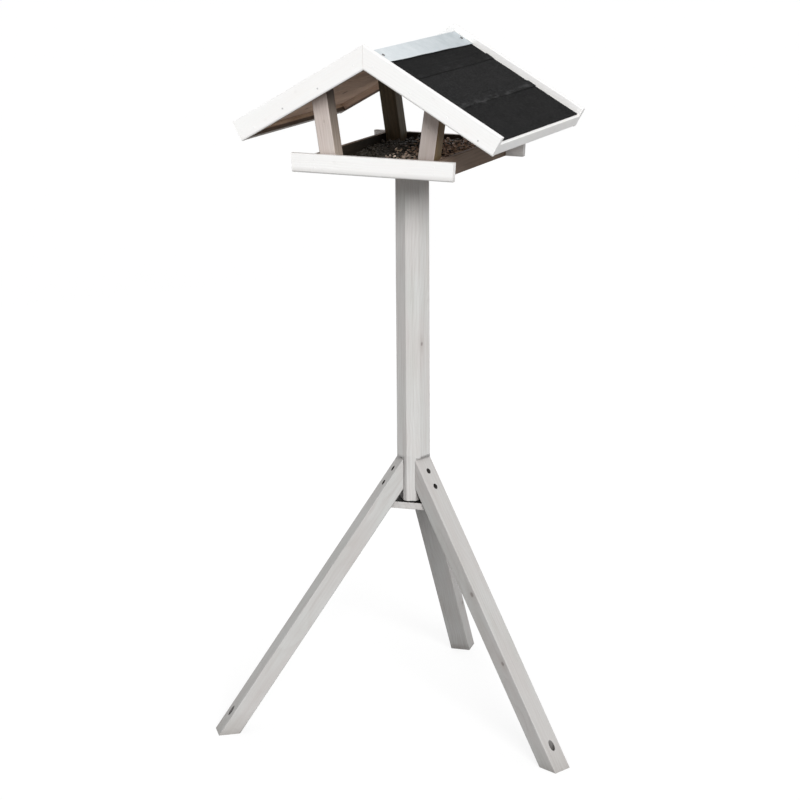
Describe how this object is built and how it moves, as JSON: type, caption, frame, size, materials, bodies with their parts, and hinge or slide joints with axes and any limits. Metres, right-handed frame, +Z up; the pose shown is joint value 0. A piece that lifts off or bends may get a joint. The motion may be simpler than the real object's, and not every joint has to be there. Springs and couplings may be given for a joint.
{
  "type": "bird feeder",
  "caption": "Roofed wooden feeding tray with felted gable roof on an octagonal post with splayed legs.",
  "frame": {"origin": "on the ground, on the axis of the post", "axes": "+Z up along the post, Y along the ridge with the front gable towards -Y, X across the gable"},
  "size_m": [0.7579, 0.7124, 1.45],
  "materials": {
    "white_paint": "white painted softwood, slightly worn at the edges",
    "grey_glaze": "light grey glazed softwood with faint grain",
    "bare_timber": "thinly stained brown timber",
    "roofing_felt": "black mineral felt",
    "ridge_metal": "dull folded sheet metal",
    "screw_steel": "zinc plated",
    "seed": "mixed seed"
  },
  "bodies": {
    "root": {"post": "grey_glaze", "leg_right": "grey_glaze", "leg_left": "grey_glaze", "leg_back": "grey_glaze", "leg_screws_right": "screw_steel", "leg_screws_left": "screw_steel", "leg_screws_back": "screw_steel", "spreader_plate": "grey_glaze", "spreader_screw": "screw_steel", "head_plate": "bare_timber", "tray_floor": "bare_timber", "tray_front_board": "white_paint", "tray_back_board": "white_paint", "tray_left_board": "bare_timber", "tray_right_board": "bare_timber", "corner_post_front_left": "grey_glaze", "corner_post_front_right": "grey_glaze", "corner_post_back_left": "grey_glaze", "corner_post_back_right": "grey_glaze", "roof_panel_left": "bare_timber", "roof_panel_right": "bare_timber", "bargeboard_front_left": "white_paint", "bargeboard_front_right": "white_paint", "bargeboard_back_left": "white_paint", "bargeboard_back_right": "white_paint", "eave_board_left": "white_paint", "eave_board_right": "white_paint", "felt_left_lower": "roofing_felt", "felt_left_middle": "roofing_felt", "felt_left_upper": "roofing_felt", "felt_right_lower": "roofing_felt", "felt_right_middle": "roofing_felt", "felt_right_upper": "roofing_felt", "ridge_felt": "roofing_felt", "ridge_cap": "ridge_metal", "seed_bed": "seed"}
  },
  "joints": []
}
